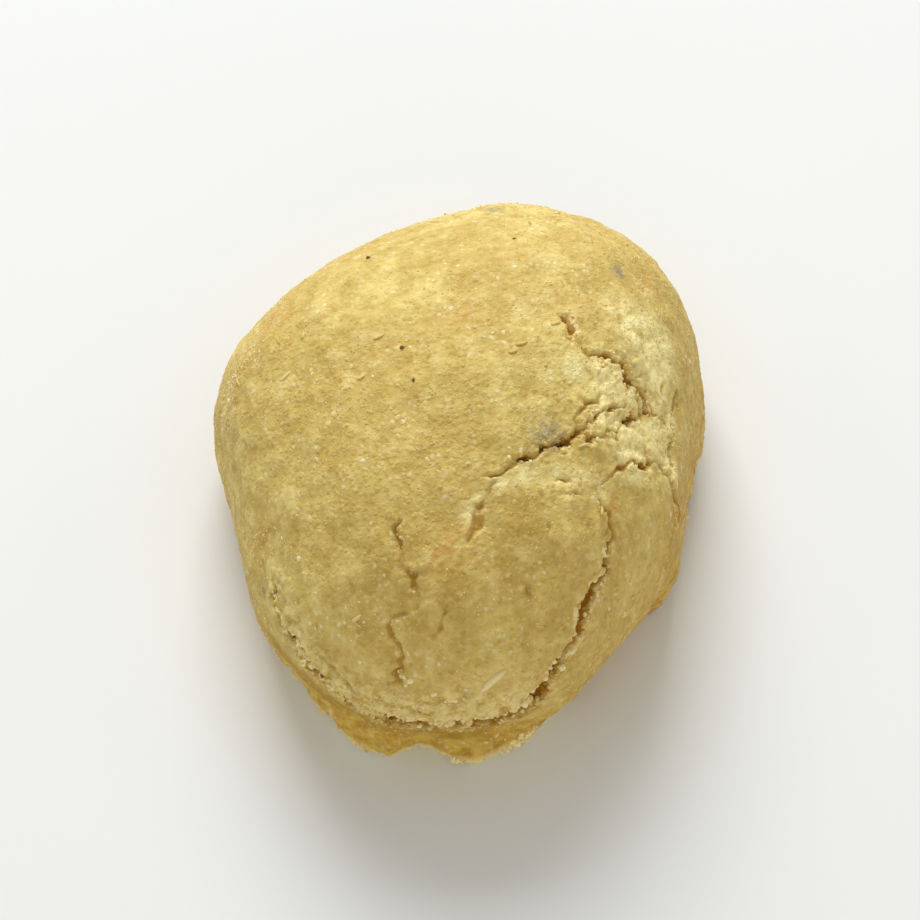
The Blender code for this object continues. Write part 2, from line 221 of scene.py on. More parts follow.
class Crack:
    """The jagged course of one crack over the ball of directions, with its half gaps and depths."""

    def __init__(self, name, turns):
        self.chance = random.Random(name)
        course = [(direction(azimuth, reach), gap) for azimuth, reach, gap in turns]
        while self.longest_run(course) > CRACK_STATION:
            course = self.halved(course)
        gaps = np.array([gap for way, gap in course])
        self.course = np.array([way for way, gap in course])
        self.halves = [self.ragged(gaps / 2), self.ragged(gaps / 2)]
        self.depths = np.minimum(DEPTH_AT_GAP * gaps**0.8 + 0.1, DEEPEST)
        self.depths[[0, -1]] = 0.0
        self.widest = gaps.max()

    @staticmethod
    def longest_run(course):
        """The longest stretch in mm between two neighbouring points of the course."""
        return max(np.linalg.norm(b[0] - a[0]) for a, b in zip(course, course[1:])) * MEAN_RADIUS

    def halved(self, course):
        """Each run in two, the new point knocked sideways and its gap made uneven."""
        finer = course[:1]
        for (a, gap_a), (b, gap_b) in zip(course, course[1:]):
            sideways = np.cross(a, b)
            knock = CRACK_JAG * self.chance.uniform(-1.0, 1.0)
            middle = (a + b) / 2 + sideways * knock
            gap = (gap_a + gap_b) / 2 * self.chance.uniform(0.7, 1.35)
            finer += [(middle / np.linalg.norm(middle), gap), (b, gap_b)]
        return finer

    def ragged(self, halves):
        """The half gaps along one side of the crack, made uneven."""
        return halves * [self.chance.uniform(0.65, 1.35) for _ in halves]

    def edges(self):
        """Points along both edges of the crack and along its middle."""
        across = np.cross(self.course, np.gradient(self.course, axis=0))
        across /= np.linalg.norm(across, axis=1, keepdims=True) * MEAN_RADIUS
        rows = [self.course - across * self.halves[0][:, None], self.course]
        rows.append(self.course + across * self.halves[1][:, None])
        steps = np.arange(0.0, len(self.course) - 0.999, 0.25)
        stations = np.arange(len(self.course))
        finer = [[np.interp(steps, stations, column) for column in row.T] for row in rows]
        return np.vstack([np.column_stack(columns) for columns in finer])

    def least_open(self):
        """The smallest share of its gap that stays open where crumb bridges the crack."""
        if self.widest < HAIRLINE:
            return 0.0
        if self.widest < WIDE:
            return 0.45
        return 0.8 if self.widest < TORN else 0.6

    def carve(self, ways, bridges, cut, curl, rim):
        """Deepens cut, raises curl, and shortens rim, which is the way to the nearest crack's edge."""
        middle = self.course.mean(0)
        span = np.linalg.norm(self.course - middle, axis=1).max()
        near = np.flatnonzero(np.linalg.norm(ways - middle, axis=1) < span + CRACK_REACH / MEAN_RADIUS)
        starts, runs = self.course[:-1], np.diff(self.course, axis=0)
        for part in np.array_split(near, max(1, len(near) // 8000)):
            offset = ways[part, None, :] - starts[None]
            share = np.clip((offset * runs).sum(2) / (runs * runs).sum(1), 0.0, 1.0)
            gap_to = offset - share[..., None] * runs
            distance = np.linalg.norm(gap_to, axis=2) * MEAN_RADIUS
            run = distance.argmin(1)
            every = np.arange(len(part))
            share, distance = share[every, run], distance[every, run]
            side = (gap_to[every, run] * np.cross(starts, runs)[run]).sum(1) > 0.0
            left, right, depth = (
                values[run] * (1.0 - share) + values[run + 1] * share
                for values in (self.halves[0], self.halves[1], self.depths)
            )
            held = np.clip(bridges[part], self.least_open(), 1.15)
            half = np.where(side, right, left) * held
            depth = depth * held * (0.7 if self.widest < NARROW else 1.0)
            wall = 0.85 * half if self.widest > 2.0 else np.minimum(0.8 * half, 0.5)
            fall = np.clip((half + SOFT_EDGE - distance) / (wall + SOFT_EDGE), 0.0, 1.0)
            taper = np.clip(depth / DEPTH_AT_GAP, 0.0, 1.0)
            past = np.clip(distance - half, 0.0, None)
            cut[part] = np.maximum(cut[part], depth * fall * fall * (3.0 - 2.0 * fall))
            lift = LIP_LIFT * min(1.0, self.widest) * taper
            curl[part] = np.maximum(curl[part], lift * np.exp(-past / LIP_RUN))
            rim[part] = np.minimum(rim[part], past + 2.0 * (1.0 - np.clip(taper * 1.6, 0.0, 1.0)))


def rag(turn, waves):
    """How far in mm an edge strays at each turn in radians, for waves given as (spacing, depth)."""
    circle = np.column_stack([np.cos(turn), np.sin(turn), np.full(len(turn), 0.3)]) * MEAN_RADIUS
    return sum(depth * noise_at(circle, spacing) for spacing, depth in waves)


def foot_spread(turn):
    """How far in mm the foot runs out at each turn in radians."""
    spread = rag(turn, FOOT_RAG)
    for azimuth, half_angle, run in FOOT_RUNS:
        away = (np.degrees(turn) - azimuth + 180.0) % 360.0 - 180.0
        spread += run * np.exp(-((away / half_angle) ** 2))
    return spread


def sunflower(spacing):
    """Directions spread evenly over the crust as a sunflower spreads its seeds."""
    lowest = math.cos(math.radians(TUCK_DOWN * 0.997))
    count = int(2.0 * math.pi * (1.0 - lowest) * MEAN_RADIUS**2 / (0.866 * spacing**2))
    number = np.arange(count)
    level = 1.0 - (number + 0.5) / count * (1.0 - lowest)
    out = np.sqrt(1.0 - level**2)
    turn = math.pi * (3.0 - math.sqrt(5.0)) * number
    return np.column_stack([out * np.cos(turn), out * np.sin(turn), level])


def ways_to(taken, ways):
    """The distance in mm from each direction to the nearest of those taken."""
    tree = kdtree.KDTree(len(taken))
    for number, way in enumerate(taken):
        tree.insert(way, number)
    tree.balance()
    return np.array([tree.find(way)[2] for way in ways]) * MEAN_RADIUS


def crust_layout(cracks):
    """All directions of the crust's mesh, closest beside the cracks, and the triangles between them."""
    ring = int(2.0 * math.pi * MEAN_RADIUS / 0.17)
    foot = np.array([direction(360.0 * k / ring, 1.0) for k in range(ring)])
    edges = [(k, (k + 1) % ring) for k in range(ring)]
    near_rim = np.array([direction(azimuth, RIM_AT) for azimuth in np.arange(-142.0, -60.0, 0.7)])
    broken = np.vstack([crack.edges() for crack in cracks] + [near_rim])
    close, open_crust = sunflower(NEAR_SPACING), sunflower(OPEN_SPACING)
    close = close[ways_to(broken, close) < NEAR_CRACK]
    open_crust = open_crust[ways_to(broken, open_crust) > NEAR_CRACK]
    ways = np.vstack([foot, close, open_crust])
    scale = 1.0 / math.tan(math.radians(TUCK_DOWN / 2))
    places = ways[:, :2] / (1.0 + ways[:, 2:3]) * scale
    found, _, triangles, _, _, _ = delaunay_2d_cdt([Vector(p) for p in places], edges, [], 0, 0.0004)
    spread = np.array([tuple(place) for place in found]) / scale
    square = (spread**2).sum(1, keepdims=True)
    return np.column_stack([2.0 * spread, 1.0 - square]) / (1.0 + square), np.array(triangles)


def strayed(ways, points):
    """The directions moved about as a break in crumb strays, so that what is drawn with them is ragged."""
    moved = points.copy()
    noise.seed_set(BREAKAGE_SEED)
    for spacing, stray in BREAKAGE:
        moved += [stray * noise.noise_vector(Vector(p) / spacing) for p in points]
    ways = ways + (moved - points) / MEAN_RADIUS
    return ways / np.linalg.norm(ways, axis=1, keepdims=True)


def crazed_plates(points):
    """On the crazed shoulder: how strongly it shows, the way to a plate's edge and the plate's own lift."""
    show = closeness(points, *PLATES_AT, PLATES_ACROSS)
    inside, lift = np.full(len(points), 9.0), np.zeros(len(points))
    stray = noise_at(points, 0.9, (7.0, 7.0, 1.0)) * 0.7
    for number in np.flatnonzero(show > 0.05):
        place = Vector(points[number] + stray[number]) / PLATE_SIZE
        ways_off, seeds = noise.voronoi(place)
        inside[number] = (ways_off[1] - ways_off[0]) / 2 * PLATE_SIZE
        lift[number] = 0.5 * noise.noise(seeds[0] * 3.7)
    return show, inside, lift


def tint(ways, spots):
    """How strongly soft-edged spots, given as (azimuth, reach, half width in mm), colour each point."""
    points = smooth_dome(ways)[0]
    strength = np.zeros(len(points))
    for spot in spots:
        strength += closeness(points, *spot)
    return np.clip(strength, 0.0, 1.0)


def baked_surface(ways, cracks):
    """Where each direction meets the crust, its depth in a crack, how bare its crumb is, and its relief."""
    points, facing = smooth_dome(ways)
    reach = reach_of(ways)
    cut, curl, rim = np.zeros(len(ways)), np.zeros(len(ways)), np.full(len(ways), 9.0)
    ragged = strayed(ways, points)
    bridges = 0.62 + 1.3 * noise_at(points, 2.2, (3.0, 8.0, 6.0))
    bridges += 1.2 * noise_at(points, 0.9, (1.0, 1.0, 4.0))
    for crack in cracks:
        crack.carve(ragged, bridges, cut, curl, rim)
    flaking = SKIN_LOSS * np.clip(0.25 + noise_at(points, 1.9, (9.0, 2.0, 4.0)), 0.0, 1.2)
    show, inside, plate_lift = crazed_plates(points)
    skin = np.clip((rim - flaking) / SKIN_EDGE, 0.0, 1.0)
    bare = 1.0 - skin
    craze = CRAZE_DEPTH * show * np.clip(1.0 - inside / CRAZE_HALF, 0.0, 1.0) ** 1.5
    relief = sum(height * noise_at(points, spacing, (5.0, 1.0, 8.0)) for spacing, height in CRUST_RELIEF)
    crumb = np.zeros(len(ways))
    open_crumb = np.flatnonzero((bare > 0.01) | (reach > 0.5))
    for spacing, height in CRUMB_RELIEF:
        crumb[open_crumb] += height * noise_at(points[open_crumb], spacing, (2.0, 6.0, 3.0))
    rough = np.maximum(bare, 1.5 * tint(ways, LIP))
    rough = np.maximum(rough, 0.9 * np.clip((reach - 0.84) / 0.05, 0.0, 1.0))
    fade = np.clip((1.0 - reach) / (1.0 - FOOT_REACH), 0.0, 1.0)
    lift = (lumps(points) + curl - cut - craze + plate_lift * show + SKIN_THICKNESS * skin) * fade
    lift += (relief + crumb * rough) * np.clip((1.0 - reach) / 0.02, 0.0, 1.0)
    points += facing * lift[:, None]
    turn = np.arctan2(ways[:, 1], ways[:, 0])
    low = np.clip((reach - FLARE_REACH) / (0.98 - FLARE_REACH), 0.0, 1.0)
    edge = np.clip((reach - 0.95) / 0.03, 0.0, 1.0)
    run_out = foot_spread(turn) * low + (rag(turn, EDGE_RAG) - 0.2) * edge
    torn = tint(ways, TORN_SIDE)
    curled = np.exp(-(((reach - RIM_AT) / 0.012) ** 2)) * (0.15 + 0.85 * torn)
    run_out += RIM_CURL * (curled * (1.0 + rag(turn, ((2.2, 0.7), (0.7, 0.6)))) - 0.7 * torn * low)
    points[:, :2] += np.column_stack([np.cos(turn), np.sin(turn)]) * run_out[:, None]
    points[:, :2] += MIDDLE_OFFSET
    points[reach > 0.9999, 2] = 0.0
    return points, cut + 0.9 * craze, bare, relief + crumb * rough


def underside(rim):
    """The flat base inside the rim, finely dimpled where steam was held under it: points and triangles."""
    column, row = np.meshgrid(np.arange(-34, 35), np.arange(-40, 41))
    lattice = np.column_stack([BASE_STEP * (column + 0.5 * (row % 2)).ravel(), BASE_ROW * row.ravel()])
    angle, out = np.arctan2(rim[:, 1], rim[:, 0]), np.linalg.norm(rim, axis=1)
    order = np.argsort(angle)
    around = np.arctan2(lattice[:, 1], lattice[:, 0])
    edge = np.interp(around, angle[order], out[order], period=2 * math.pi)
    lattice = lattice[np.linalg.norm(lattice, axis=1) < edge - 0.7]
    places = [Vector(p) for p in np.vstack([rim, lattice])]
    ring = list(range(len(rim)))
    found, _, triangles, _, _, _ = delaunay_2d_cdt(places, [], [ring], 1, 1e-5)
    flat = np.array([tuple(place) for place in found])
    level = np.zeros((len(flat), 1))
    dimples = np.clip(noise_at(np.hstack([flat, level]), 2.2, (4.0, 4.0, 4.0)), 0.0, 1.0)
    dimples[: len(rim)] = 0.0
    return np.column_stack([flat, DIMPLE_DEPTH * dimples]), np.array(triangles)


def mesh_piece(name, points, triangles, facts=None):
    """A smooth-shaded object from points in mm, with named numbers at every point for its material."""
    mesh = bpy.data.meshes.new(name)
    mesh.from_pydata((points * MM).tolist(), [], triangles.tolist())
    for label, values in (facts or {}).items():
        mesh.attributes.new(label, "FLOAT", "POINT").data.foreach_set("value", values.astype(np.float32))
    mesh.shade_smooth()
    piece = bpy.data.objects.new(name, mesh)
    bpy.context.scene.collection.objects.link(piece)
    return piece


cracks = [Crack(name, turns) for name, turns in {**MAIN_CRACKS, **FINE_CRACKS}.items()]
ways, triangles = crust_layout(cracks)
points, cut, bare, bumps = baked_surface(ways, cracks)
at_rim = np.flatnonzero(reach_of(ways) > 0.9999)
at_rim = at_rim[np.argsort(np.arctan2(ways[at_rim, 1], ways[at_rim, 0]))]
base_points, base_triangles = underside(points[at_rim, :2])
new_number = np.concatenate([at_rim, len(points) + np.arange(len(base_points) - len(at_rim))])
base_triangles = new_number[base_triangles][:, ::-1]
base_points = base_points[len(at_rim) :]
under = np.zeros(len(base_points))
reach = reach_of(ways)

# Places that are coloured apart, as (azimuth, reach, half width in mm)
ORANGE_SPOTS = (  # tanned by the oven
    (-38, 0.40, 1.0), (-96, 0.30, 1.6), (-99, 0.33, 0.8), (96, 0.12, 1.3), (40, 0.50, 1.2),
    (150, 0.50, 1.6), (-150, 0.58, 1.2), (-84, 0.71, 1.4),
)
WARM_SHADE_SPOTS = (  # painted warm shade on the low right side
    (-28, 0.79, 5.5), (2, 0.82, 6.0), (-56, 0.86, 4.0), (-20, 0.68, 3.0), (-80, 0.9, 3.0),
)
GROOVE_SHADE_SPOTS = (  # painted shade in the hollow below the torn lip, and in the groove beside the long tear
    (-134, 0.76, 1.2), (-129, 0.767, 1.4), (-124, 0.775, 1.5), (-119, 0.782, 1.6), (-114, 0.785, 1.6),
    (-108, 0.785, 1.7), (-102, 0.788, 1.8), (-97, 0.80, 1.9), (-92, 0.82, 1.9), (-88, 0.79, 1.5),
    (-84, 0.77, 1.2), (-79, 0.71, 1.1), (-75, 0.66, 0.9), (-70, 0.61, 0.8),
)
CREAM_AND_HIGHLIGHT_SPOTS = (  # pale edges of the slab between the cracks, and the crazed shoulder: partly pale crumb, partly painted highlight
    (-89, 0.246, 0.8), (-83, 0.221, 0.8), (-73, 0.203, 0.8), (-61, 0.219, 0.8), (-48, 0.263, 0.9),
    (-42, 0.312, 0.9), (-39, 0.362, 0.8), (5, 0.266, 1.2), (6, 0.205, 1.0), (2, 0.315, 1.4),
    (-13, 0.31, 1.3), (-22, 0.404, 1.6), (1, 0.50, 1.6), (7, 0.429, 1.5), (-12, 0.556, 1.3),
    (-5, 0.40, 4.0), (28, 0.36, 2.5), (20, 0.47, 2.5),
)
GREY_SPOTS = ((-38, 0.205, 1.3), (83, 0.50, 0.7), (44, 0.408, 0.7), (-142, 0.66, 0.6))
facts = {
    "depth": cut,
    "bumps": bumps,
    "bare": bare,
    "foot": np.clip((reach - 0.74) / 0.08, 0.0, 1.0),
    "edge": np.clip((reach - 0.945) / 0.025, 0.0, 1.0),
    "level": points[:, 2],
    "lip": tint(ways, LIP),
    "cream": tint(ways, CREAM_AND_HIGHLIGHT_SPOTS),
    "groove_shade": tint(ways, GROOVE_SHADE_SPOTS),
    "torn": tint(ways, TORN_SIDE),
    "orange": tint(ways, ORANGE_SPOTS),
    "grey": tint(ways, GREY_SPOTS),
    "warm_shade": tint(ways, WARM_SHADE_SPOTS),
}
facts = {label: np.concatenate([values, under]) for label, values in facts.items()}
facts["base"] = np.concatenate([np.clip(1.0 - points[:, 2] / 0.12, 0.0, 1.0), under + 1.0])
crust = mesh_piece("crust", np.vstack([points, base_points]), np.vstack([triangles, base_triangles]), facts)


def srgb(text):
    """A colour written as sRGB hex, made linear, with full alpha."""
    shares = [int(text[k : k + 2], 16) / 255 for k in (1, 3, 5)]
    return [s / 12.92 if s <= 0.04045 else ((s + 0.055) / 1.055) ** 2.4 for s in shares] + [1.0]


def add_node(tree, kind, settings=None, inputs=None):
    """A node with its settings, and its inputs set to values or linked to other nodes' outputs."""
    node = tree.nodes.new(kind)
    for name, value in (settings or {}).items():
        setattr(node, name, value)
    for name, value in (inputs or {}).items():
        if isinstance(value, bpy.types.NodeSocket):
            tree.links.new(value, node.inputs[name])
        else:
            node.inputs[name].default_value = value
    return node


def ramp(tree, value, low, high, to=1.0, kind="LINEAR"):
    """A number stretched so that low becomes 0 and high becomes `to`."""
    ends = {"Value": value, "From Min": low, "From Max": high, "To Max": to}
    return add_node(tree, "ShaderNodeMapRange", {"interpolation_type": kind}, ends).outputs[0]


def place_on(tree, where):
    """Where on the piece a point lies, moved so that each pattern starts elsewhere."""
    place = add_node(tree, "ShaderNodeTexCoord").outputs["Object"]
    return add_node(tree, "ShaderNodeMapping", None, {"Vector": place, "Location": where}).outputs[0]


def noise_band(tree, size, low, high, detail=3.0, where=(0.0, 0.0, 0.0)):
    """Noise with features of this size in mm, stretched so that low becomes 0 and high becomes 1."""
    cloud = add_node(
        tree,
        "ShaderNodeTexNoise",
        None,
        {"Vector": place_on(tree, where), "Scale": 1.0 / (size * MM), "Detail": detail, "Roughness": 0.6},
    )
    return ramp(tree, cloud.outputs[0], low, high, kind="SMOOTHSTEP")


def packed_grains(tree, size, where):
    """Rounded grains of this size in mm pressed together: how high each place is, and each grain's number."""
    place, scale = place_on(tree, where), 1.0 / (size * MM)
    cloud = add_node(tree, "ShaderNodeTexNoise", None, {"Vector": place, "Scale": scale, "Detail": 1.0})
    bend = {0: cloud.outputs["Color"], 1: [0.9 * size * MM] * 3, 2: place}
    moved = add_node(tree, "ShaderNodeVectorMath", {"operation": "MULTIPLY_ADD"}, bend)
    cells = add_node(tree, "ShaderNodeTexVoronoi", None, {"Vector": moved.outputs[0], "Scale": scale})
    own = add_node(tree, "ShaderNodeSeparateColor", None, {"Color": cells.outputs["Color"]})
    return ramp(tree, cells.outputs["Distance"], 0.65, 0.1, kind="SMOOTHSTEP"), own.outputs[0]


def fact(tree, name, low=0.0, high=1.0, to=1.0):
    """A number kept at the mesh's points, stretched so that low becomes 0 and high becomes `to`."""
    kept = add_node(tree, "ShaderNodeAttribute", {"attribute_name": name})
    return ramp(tree, kept.outputs["Fac"], low, high, to)


SHARE, FIRST, SECOND, RESULT = 0, 6, 7, 2  # the mix node's sockets when it mixes colours


def mixed(tree, share, first, second):
    """One colour turning into another by a share; each is a hex text or a node's output."""
    first, second = (srgb(colour) if isinstance(colour, str) else colour for colour in (first, second))
    ends = {SHARE: share, FIRST: first, SECOND: second}
    return add_node(tree, "ShaderNodeMix", {"data_type": "RGBA"}, ends).outputs[RESULT]


def times(tree, first, second):
    """The product of two node outputs or numbers."""
    return add_node(tree, "ShaderNodeMath", {"operation": "MULTIPLY"}, {0: first, 1: second}).outputs[0]


def patchy(tree, share, size, low, high, detail=3.0, where=(0.0, 0.0, 0.0)):
    """A share that holds only inside the patches of a noise with features of this size in mm."""
    return times(tree, share, noise_band(tree, size, low, high, detail, where))


def new_material(name):
    """A material with its node tree and its shader."""
    material = bpy.data.materials.new(name)
    material.use_nodes = True
    return material, material.node_tree, material.node_tree.nodes["Principled BSDF"]


# Baked coconut dough: a dry, matt, sandy skin in pale gold, paler where its crumb shows in the cracks
dough, tree, shader = new_material("baked_coconut_dough")
gold = mixed(tree, noise_band(tree, 9.0, 0.40, 0.62), "#d3b766", "#e1cb78")
# Lower on the sides the gold turns deeper: partly browning in the oven, partly painted warm shade
flank_browning_and_shade = mixed(tree, fact(tree, "level", 17.0, 5.0, 0.6), gold, "#ceb154")
# Painted warm shade low on the right side
warm_shade = mixed(tree, fact(tree, "warm_shade", 0.0, 1.0, 0.75), flank_browning_and_shade, "#bf8f28")
mottled = mixed(tree, patchy(tree, 0.6, 2.2, 0.38, 0.70, 5.0, (0.3, 0.1, 0.0)), warm_shade, "#c0a24c")
# Painted shade in the crust's hollows and painted highlight on its bumps, following the relief
shaded_hollows = mixed(tree, fact(tree, "bumps", 0.02, -0.11, 0.5), mottled, "#b3923f")
lit_peaks = mixed(tree, fact(tree, "bumps", 0.02, 0.12, 0.5), shaded_hollows, "#f4e3a0")
# Pale crumb at the slab's edges and on the crazed shoulder, partly a painted highlight
cream_and_highlight = mixed(tree, patchy(tree, fact(tree, "cream", 0.1, 0.9, 0.95), 1.5, 0.30, 0.56), lit_peaks, "#fbeca6")
paler = mixed(tree, patchy(tree, fact(tree, "lip", 0.0, 1.0, 0.7), 0.9, 0.38, 0.6), cream_and_highlight, "#f2e09a")

# The foot and the skin near it have browned in patches
foot = mixed(tree, noise_band(tree, 1.4, 0.35, 0.65, 4.0, (0.1, 0.8, 0.3)), "#bb8c26", "#debc4e")
lower = mixed(tree, fact(tree, "foot", 0.0, 1.0, 0.8), paler, foot)

# Pale and dark flecks, and the grains packed in the dough, some left white and some tanned
pale_flecked = mixed(tree, patchy(tree, 0.2, 0.6, 0.48, 0.66, 2.0, (0.5, 0.0, 0.9)), lower, "#f5e4a8")
flecked = mixed(tree, patchy(tree, 0.22, 0.7, 0.50, 0.68, 2.0, (0.0, 0.6, 0.1)), pale_flecked, "#a3843a")
grain_top, grain_own = packed_grains(tree, 0.46, (0.0, 0.4, 0.2))
pale_grain = times(tree, grain_top, ramp(tree, grain_own, 0.62, 0.95))
pale_grain = times(tree, pale_grain, patchy(tree, 0.8, 3.2, 0.42, 0.66, 2.0, (0.7, 0.0, 0.2)))
with_pale = mixed(tree, pale_grain, flecked, "#faeebc")
tan_grain = times(tree, times(tree, grain_top, ramp(tree, grain_own, 0.20, 0.08)), 0.4)
grained = mixed(tree, tan_grain, with_pale, "#b07f30")

# Bare crumb beside the cracks, painted shade in the groove below the lip, and the foot's edge, cream where it
# has torn, with a painted highlight there
crumb = mixed(tree, noise_band(tree, 0.8, 0.40, 0.62, 3.0, (0.2, 0.0, 0.5)), "#dfc26a", "#f6e8b0")
baked = mixed(tree, fact(tree, "bare", 0.1, 0.8, 0.85), grained, crumb)
shaded_groove = mixed(tree, patchy(tree, fact(tree, "groove_shade", 0.1, 0.9, 0.7), 1.3, 0.24, 0.46), baked, "#aa8318")
# On the torn side the foot's edge is pale crumb with a painted highlight
edge_tone_and_highlight = mixed(tree, fact(tree, "torn", 0.2, 0.7), "#bf9745", "#fcf0b8")
edged = mixed(tree, patchy(tree, fact(tree, "edge"), 0.9, 0.26, 0.42), shaded_groove, edge_tone_and_highlight)

# Painted warm shade in the cracks, deepening to brown in the deepest, tanned spots, grey smudges from the
# tray, and a browned base
crack_shade = mixed(tree, fact(tree, "depth", 0.15, 0.7, 0.95), edged, "#bd8a20")
deepest_crack_shade = mixed(tree, fact(tree, "depth", 0.8, 2.3, 0.85), crack_shade, "#9f6a14")
tanned = mixed(tree, patchy(tree, fact(tree, "orange", 0.0, 1.0, 0.6), 1.2, 0.35, 0.6), deepest_crack_shade, "#c58d3e")
smudged = mixed(tree, patchy(tree, fact(tree, "grey"), 0.7, 0.36, 0.56), tanned, "#94856a")
brown = mixed(tree, noise_band(tree, 3.0, 0.35, 0.65, 4.0), "#b9853c", "#8f5f26")
whole = mixed(tree, fact(tree, "base", 0.35, 1.0), smudged, brown)
tree.links.new(whole, shader.inputs["Base Color"])
tree.links.new(noise_band(tree, 0.5, -0.5, 1.2), shader.inputs["Roughness"])
finer = noise_band(tree, 0.16, 0.25, 0.75, 1.0, (0.1, 0.9, 0.1))
sand = add_node(tree, "ShaderNodeMath", {"operation": "MULTIPLY_ADD"}, {0: finer, 1: 0.3, 2: grain_top})
relief = {"Height": sand.outputs[0], "Strength": 0.6, "Distance": 0.09 * MM}
bump = add_node(tree, "ShaderNodeBump", None, relief)
tree.links.new(bump.outputs[0], shader.inputs["Normal"])
shader.inputs["Specular IOR Level"].default_value = 0.2
crust.data.materials.append(dough)
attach(crust, "root")
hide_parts("macaroon")

# ---------------------------------------------------------------------------------------------------------
# Crumbs: broken bits of the dough's inside, lying in the cracks, along their edges and on the foot's ledge.
# Each is a rough lump a quarter to three quarters of a millimetre across, sunk part way where it lies.
# ---------------------------------------------------------------------------------------------------------


def unit(rows):
    """Each row made one long."""
    return rows / np.linalg.norm(rows, axis=1, keepdims=True)


def small_lumps(name, chance, seats, facings, sizes, sunk, detail, facts=None):
    """Rough lumps as one object: each sits at its seat, sunk there by a share of its size."""
    ball = bmesh.new()
    bmesh.ops.create_icosphere(ball, subdivisions=detail, radius=0.5)
    corners = np.array([tuple(corner.co) for corner in ball.verts])
    faces = np.array([[corner.index for corner in face.verts] for face in ball.faces])
    ball.free()
    count = len(seats)
    w, x, y, z = (part[:, 0] for part in np.split(unit(chance.normal(size=(count, 4))), 4, axis=1))
    turns = np.array([
        [1 - 2 * (y * y + z * z), 2 * (x * y - w * z), 2 * (x * z + w * y)],
        [2 * (x * y + w * z), 1 - 2 * (x * x + z * z), 2 * (y * z - w * x)],
        [2 * (x * z - w * y), 2 * (y * z + w * x), 1 - 2 * (x * x + y * y)],
    ]).transpose(2, 0, 1)
    shapes = corners[None] * chance.uniform(0.72, 1.28, (count, len(corners), 1))
    shapes = shapes * chance.uniform(0.65, 1.15, (count, 1, 3)) * sizes[:, None, None]
    shapes = np.einsum("nij,nkj->nki", turns, shapes)
    middles = seats + facings * (sizes * (0.5 - sunk))[:, None]
    points = (shapes + middles[:, None]).reshape(-1, 3)
    triangles = (faces[None] + (np.arange(count) * len(corners))[:, None, None]).reshape(-1, 3)
    spread = {label: np.repeat(values, len(corners)) for label, values in (facts or {}).items()}
    return mesh_piece(name, points, triangles, spread)


def picked(chance, weights, count):
    """Numbers of the crust's points, each picked once, the heavier the likelier."""
    return chance.choice(len(weights), count, replace=False, p=weights / weights.sum())


crust_seats = np.array([tuple(corner.co) for corner in crust.data.vertices])[: len(points)] / MM
crust_facings = np.array([tuple(corner.normal) for corner in crust.data.vertices])[: len(points)]
a, b, c = (points[triangles[:, corner]] for corner in range(3))
area = np.zeros(len(points))  # of crust round each point
np.add.at(area, triangles.ravel(), np.repeat(np.linalg.norm(np.cross(b - a, c - a), axis=1) / 6, 3))

chance = np.random.default_rng(11)
lip = tint(ways, LIP)
shoulder = tint(ways, ((-6, 0.37, 2.8), (2, 0.49, 2.4), (-18, 0.30, 1.6)))
flake = tint(ways, ((-79, 0.955, 0.9), (-76, 0.94, 0.7), (-92, 0.975, 0.6)))  # crumbling at the foot's edge
looseness = (0.9 * np.clip(bare, 0.0, 1.0) + 0.15 * (cut > 0.3)) * (0.5 + 1.6 * lip + 0.35 * shoulder)
looseness = looseness * np.where((reach > 0.7) & (lip < 0.05), 0.3, 1.0) + 2.5 * flake
chosen = picked(chance, area * looseness, 1300)
sizes = 0.22 + 0.45 * chance.beta(1.2, 3.0, len(chosen)) * (1.0 + 0.5 * lip[chosen] + 0.6 * flake[chosen])
pale = chance.uniform(0.0, 1.0, len(chosen)) + 0.4 * (shoulder + lip)[chosen] + flake[chosen]
# Crumbs deep in a crack are made less pale: painted shade
pale = np.clip(pale - 0.5 * (cut[chosen] > 0.5), 0.0, 1.0)
seats, facings = crust_seats[chosen], crust_facings[chosen]
facts = {"pale": pale, "depth": cut[chosen]}
crumbs = small_lumps("crumbs", chance, seats, facings, sizes, 0.55, 2, facts)
crumb_dough, tree, shader = new_material("crumb_of_the_dough")
own = mixed(tree, fact(tree, "pale"), "#d6b356", "#fbeeb4")
# Painted shade on crumbs that lie deep in a crack
crumb_crack_shade = mixed(tree, fact(tree, "depth", 0.3, 1.8, 0.85), own, "#a8741a")
speckled = mixed(tree, patchy(tree, 0.5, 0.3, 0.5, 0.7), crumb_crack_shade, "#a9853f")
tree.links.new(speckled, shader.inputs["Base Color"])
shader.inputs["Roughness"].default_value = 0.9
shader.inputs["Specular IOR Level"].default_value = 0.2
crumbs.data.materials.append(crumb_dough)
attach(crumbs, "root")

# ---------------------------------------------------------------------------------------------------------
# Grains of desiccated coconut, a tenth to half a millimetre, which stand out of the crust all over and give
# it its sandy feel. Most have browned with the crust; some have stayed almost white.
# ---------------------------------------------------------------------------------------------------------

chance = np.random.default_rng(23)
gathered = np.clip(0.55 + 1.3 * noise_at(points, 4.0, (2.0, 2.0, 9.0)), 0.1, 1.5)
whiter = (  # azimuth and reach of the large grains that have stayed white
    (-144, 0.51), (-136, 0.49), (-101, 0.565), (-96, 0.60), (-90, 0.59), (-112, 0.56), (-92, 0.62),
    (-122, 0.31), (-2, 0.21), (6, 0.27), (1, 0.48), (-12, 0.34),
)
placed = np.array([(ways @ direction(azimuth, way)).argmax() for azimuth, way in whiter])
pale_patch = np.clip(lip + tint(ways, ((171, 0.62, 2.2), (160, 0.54, 2.2), (-150, 0.64, 1.8))), 0.0, 1.0)
loose = picked(chance, area * gathered * (0.5 + 1.6 * pale_patch) * (reach < 0.985) * (cut < 0.4), 7500)
chosen = np.concatenate([placed, loose])
sizes = 0.14 + 0.28 * chance.beta(1.2, 3.2, len(chosen)) * (1.0 + 0.8 * pale_patch[chosen])
sizes[: len(placed)] = chance.uniform(0.46, 0.72, len(placed))
